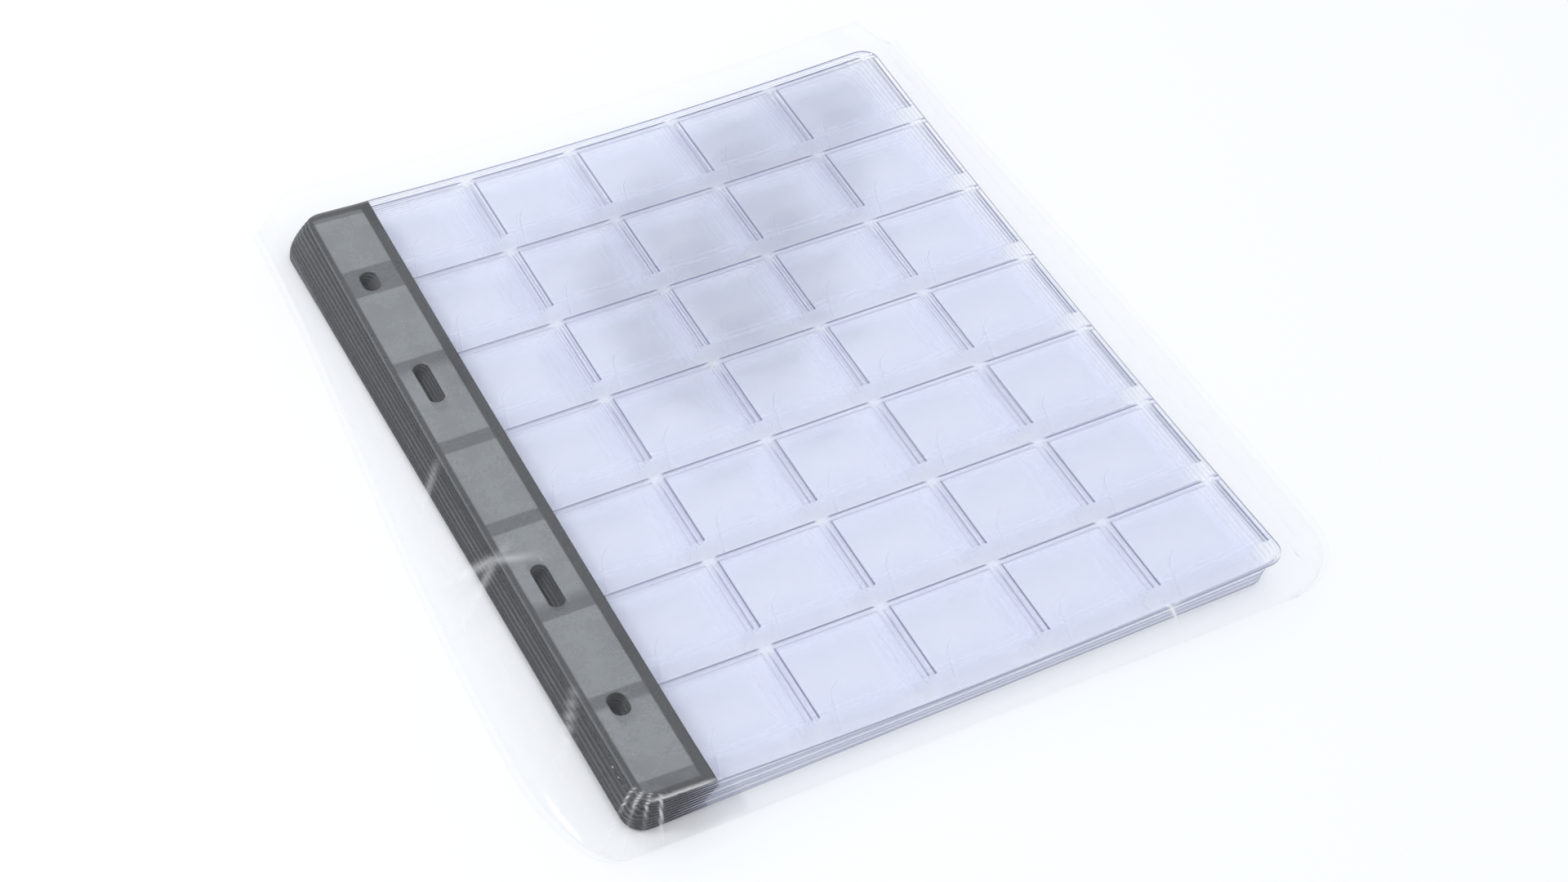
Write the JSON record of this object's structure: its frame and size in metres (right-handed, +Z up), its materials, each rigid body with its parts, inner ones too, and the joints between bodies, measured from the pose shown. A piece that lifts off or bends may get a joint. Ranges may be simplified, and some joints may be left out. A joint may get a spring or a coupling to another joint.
{
  "type": "coin album refill pages",
  "caption": "Stack of clear coin pages with small pockets, tuck flaps and a smoke-grey slotted binding strip, in a thin film sleeve open at one end.",
  "frame": {"origin": "centre of the sleeve's footprint, on the surface it lies on", "axes": "+Z up from that surface, +Y towards the sleeve's open mouth, +X away from the binding edge"},
  "size_m": [0.238, 0.2664, 0.0121],
  "materials": {
    "clear_film": "clear gloss film",
    "pocket_film": "clear gloss film, welded in a grid",
    "flap_film": "clear gloss film",
    "strip_film": "smoke-grey translucent film",
    "sleeve_film": "thin clear glossy film"
  },
  "bodies": {
    "sleeve": {"sleeve_bottom_film": "sleeve_film", "sleeve_binding_side_film": "sleeve_film", "sleeve_top_film": "sleeve_film", "sleeve_open_side_film": "sleeve_film", "sleeve_binding_side_seam": "sleeve_film", "sleeve_open_side_seam": "sleeve_film", "sleeve_closed_end": "sleeve_film"},
    "page_01": {"page_01_backing": "clear_film", "page_01_pocket_rows": "pocket_film", "page_01_tuck_flaps": "flap_film", "page_01_binding_strip": "strip_film"},
    "page_02": {"page_02_backing": "clear_film", "page_02_pocket_rows": "pocket_film", "page_02_tuck_flaps": "flap_film", "page_02_binding_strip": "strip_film"},
    "page_03": {"page_03_backing": "clear_film", "page_03_pocket_rows": "pocket_film", "page_03_tuck_flaps": "flap_film", "page_03_binding_strip": "strip_film"},
    "page_04": {"page_04_backing": "clear_film", "page_04_pocket_rows": "pocket_film", "page_04_tuck_flaps": "flap_film", "page_04_binding_strip": "strip_film"},
    "page_05": {"page_05_backing": "clear_film", "page_05_pocket_rows": "pocket_film", "page_05_tuck_flaps": "flap_film", "page_05_binding_strip": "strip_film"},
    "page_06": {"page_06_backing": "clear_film", "page_06_pocket_rows": "pocket_film", "page_06_tuck_flaps": "flap_film", "page_06_binding_strip": "strip_film"},
    "page_07": {"page_07_backing": "clear_film", "page_07_pocket_rows": "pocket_film", "page_07_tuck_flaps": "flap_film", "page_07_binding_strip": "strip_film"},
    "page_08": {"page_08_backing": "clear_film", "page_08_pocket_rows": "pocket_film", "page_08_tuck_flaps": "flap_film", "page_08_binding_strip": "strip_film"},
    "page_09": {"page_09_backing": "clear_film", "page_09_pocket_rows": "pocket_film", "page_09_tuck_flaps": "flap_film", "page_09_binding_strip": "strip_film"},
    "page_10": {"page_10_backing": "clear_film", "page_10_pocket_rows": "pocket_film", "page_10_tuck_flaps": "flap_film", "page_10_binding_strip": "strip_film"}
  },
  "joints": [
    {"name": "page_01_pull_out", "type": "slide", "parent": "sleeve", "child": "page_01", "axis": [0, 1, 0], "range_m": [0, 0.27]},
    {"name": "page_02_pull_out", "type": "slide", "parent": "sleeve", "child": "page_02", "axis": [0, 1, 0], "range_m": [0, 0.27]},
    {"name": "page_03_pull_out", "type": "slide", "parent": "sleeve", "child": "page_03", "axis": [0, 1, 0], "range_m": [0, 0.27]},
    {"name": "page_04_pull_out", "type": "slide", "parent": "sleeve", "child": "page_04", "axis": [0, 1, 0], "range_m": [0, 0.27]},
    {"name": "page_05_pull_out", "type": "slide", "parent": "sleeve", "child": "page_05", "axis": [0, 1, 0], "range_m": [0, 0.27]},
    {"name": "page_06_pull_out", "type": "slide", "parent": "sleeve", "child": "page_06", "axis": [0, 1, 0], "range_m": [0, 0.27]},
    {"name": "page_07_pull_out", "type": "slide", "parent": "sleeve", "child": "page_07", "axis": [0, 1, 0], "range_m": [0, 0.27]},
    {"name": "page_08_pull_out", "type": "slide", "parent": "sleeve", "child": "page_08", "axis": [0, 1, 0], "range_m": [0, 0.27]},
    {"name": "page_09_pull_out", "type": "slide", "parent": "sleeve", "child": "page_09", "axis": [0, 1, 0], "range_m": [0, 0.27]},
    {"name": "page_10_pull_out", "type": "slide", "parent": "sleeve", "child": "page_10", "axis": [0, 1, 0], "range_m": [0, 0.27]}
  ]
}
